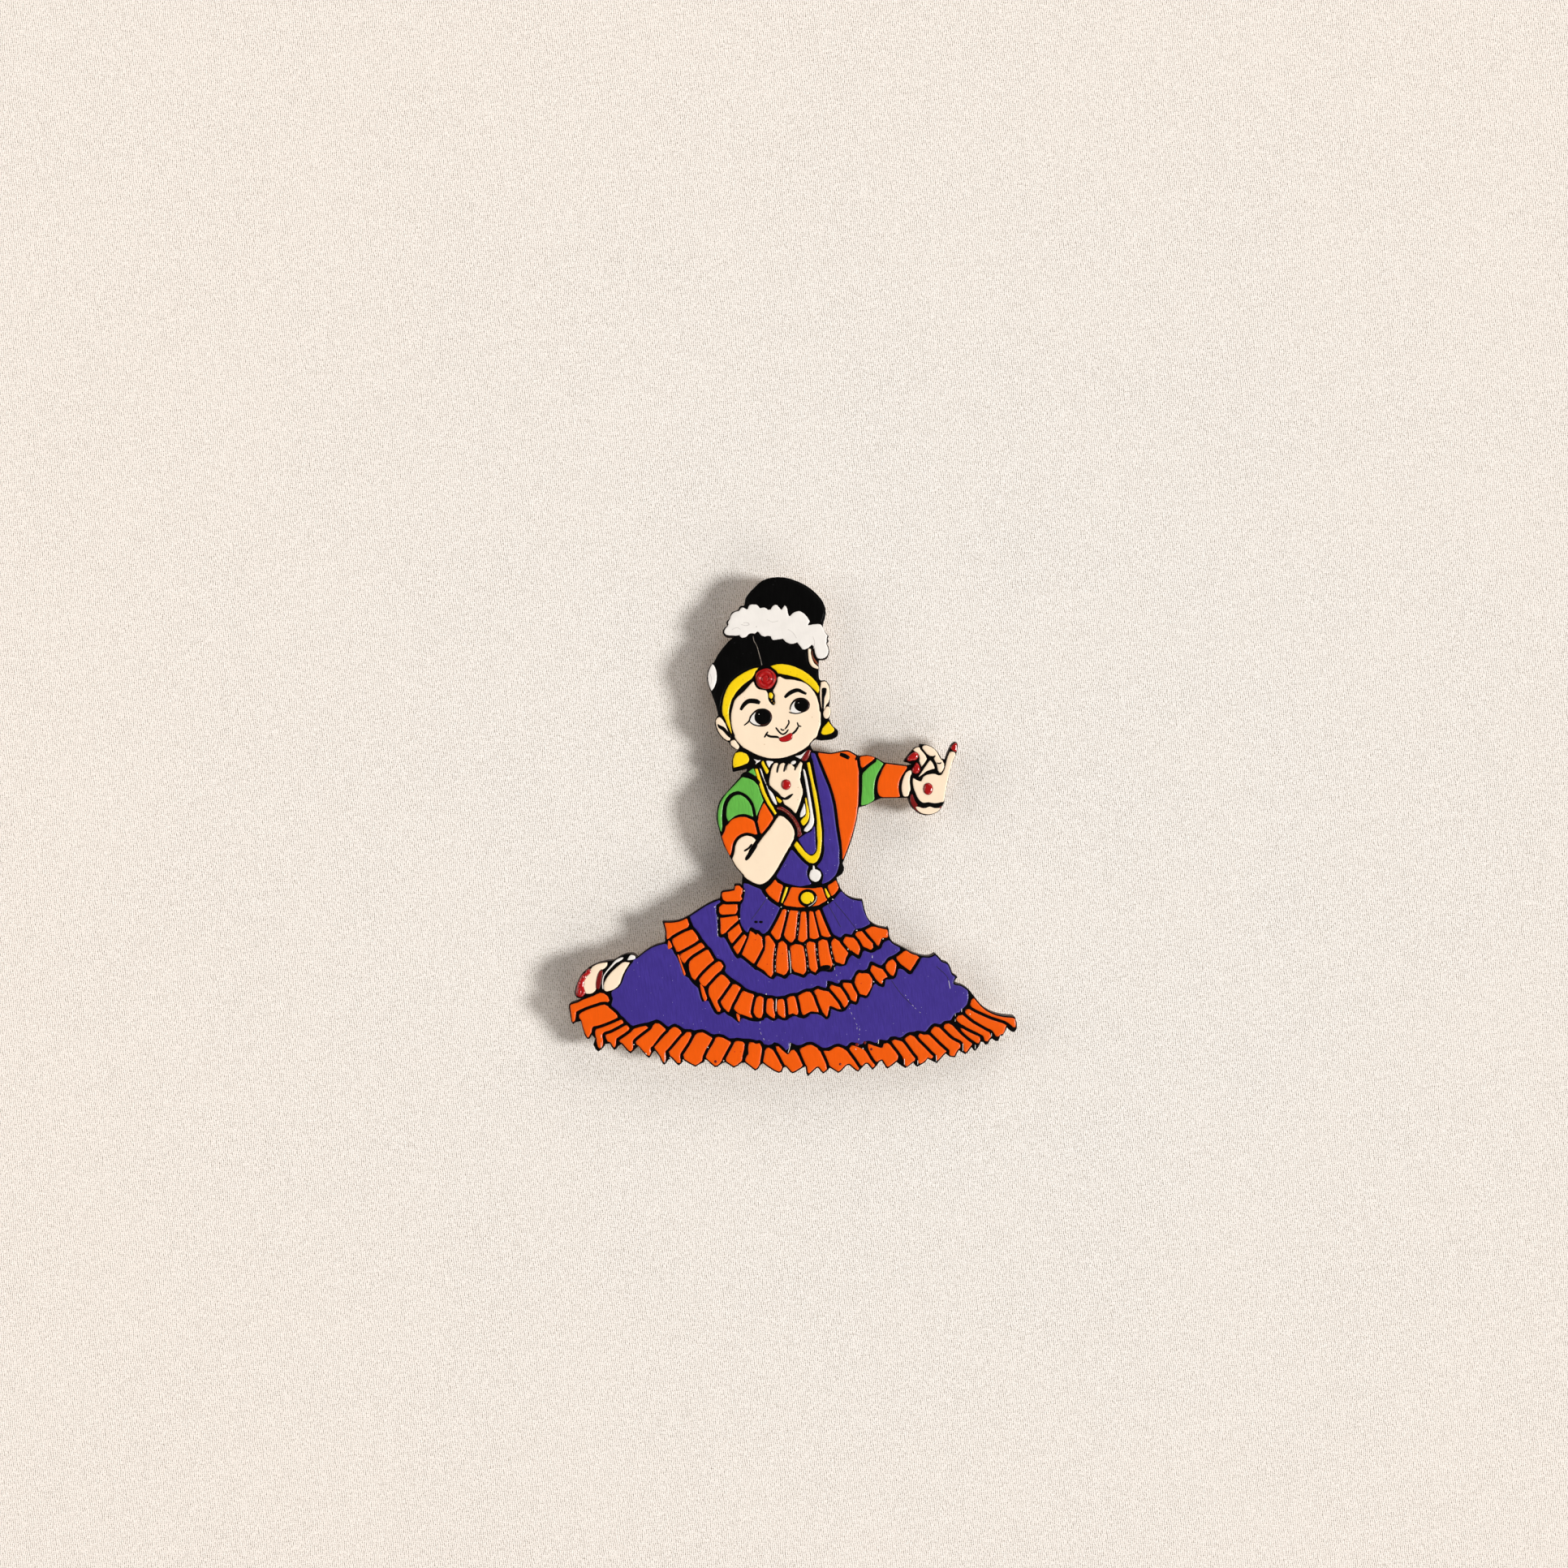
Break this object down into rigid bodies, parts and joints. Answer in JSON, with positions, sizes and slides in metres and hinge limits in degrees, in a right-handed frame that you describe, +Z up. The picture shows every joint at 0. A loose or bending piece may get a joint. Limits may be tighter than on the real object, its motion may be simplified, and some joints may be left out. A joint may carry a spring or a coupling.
{
  "type": "painted dancer wall magnet",
  "caption": "Flat seated classical dancer cut from thin board, painted in raised colour fields on black, held to a wall by disc magnets.",
  "frame": {"origin": "centre of the lower magnet's back face, on the wall plane", "axes": "+Z up the figure, +X to the viewer's right as the painted front is looked at, +Y into the wall, so the painted front faces -Y"},
  "size_m": [0.0691, 0.0069, 0.077],
  "materials": {
    "board": "laser-cut 3 mm fibre board, raw back and scorched brown cut edge",
    "black_paint": "gloss black acrylic paint",
    "orange_paint": "gloss orange acrylic paint",
    "violet_paint": "satin violet acrylic paint with fine brush streaks",
    "green_paint": "gloss green acrylic paint",
    "skin_paint": "gloss cream acrylic paint",
    "yellow_paint": "gloss yellow acrylic paint",
    "white_paint": "gloss white acrylic paint",
    "red_paint": "gloss red acrylic paint in raised drops",
    "dark_red_paint": "gloss dark red acrylic paint",
    "magnet": "matt sintered ferrite",
    "glue": "cured clear glue"
  },
  "bodies": {
    "root": {"board": "board", "black_coat": "black_paint", "magnet_lower": "magnet", "magnet_upper": "magnet", "glue_lower": "glue", "glue_upper": "glue", "hair_bun": "black_paint", "hair_cap": "black_paint", "flower_garland": "white_paint", "temple_flower": "white_paint", "headband_left": "yellow_paint", "headband_right": "yellow_paint", "forehead_jewel": "red_paint", "face": "skin_paint", "ear_left": "skin_paint", "ear_right": "skin_paint", "earring_left": "yellow_paint", "earring_right": "yellow_paint", "sleeve_left": "green_paint", "sleeve_inner_left": "green_paint", "cuff_left": "orange_paint", "forearm_left": "skin_paint", "bangle_left": "dark_red_paint", "hand_left": "skin_paint", "palm_dot_left": "red_paint", "bodice_orange": "orange_paint", "bodice_side": "violet_paint", "bodice_waist": "violet_paint", "necklace_left": "yellow_paint", "necklace_right": "yellow_paint", "chain_left": "white_paint", "chain_right": "white_paint", "pendant": "white_paint", "sash": "orange_paint", "shoulder_cap": "orange_paint", "sleeve_right": "green_paint", "cuff_right": "orange_paint", "wrist_right": "skin_paint", "bangle_right": "dark_red_paint", "palm_right": "skin_paint", "palm_dot_right": "red_paint", "finger_index": "skin_paint", "thumb_right": "skin_paint", "nail_upper": "red_paint", "nail_lower": "red_paint", "belt": "orange_paint", "belt_bar_left": "yellow_paint", "belt_bar_right": "yellow_paint", "belt_buckle": "yellow_paint", "fan": "orange_paint", "skirt_front_left": "violet_paint", "skirt_front_right": "violet_paint", "skirt_middle": "violet_paint", "skirt_lower": "violet_paint", "ruffle_upper": "orange_paint", "ruffle_middle": "orange_paint", "ruffle_hem": "orange_paint", "foot": "skin_paint", "heel": "skin_paint", "toe_nails": "red_paint"}
  },
  "joints": []
}
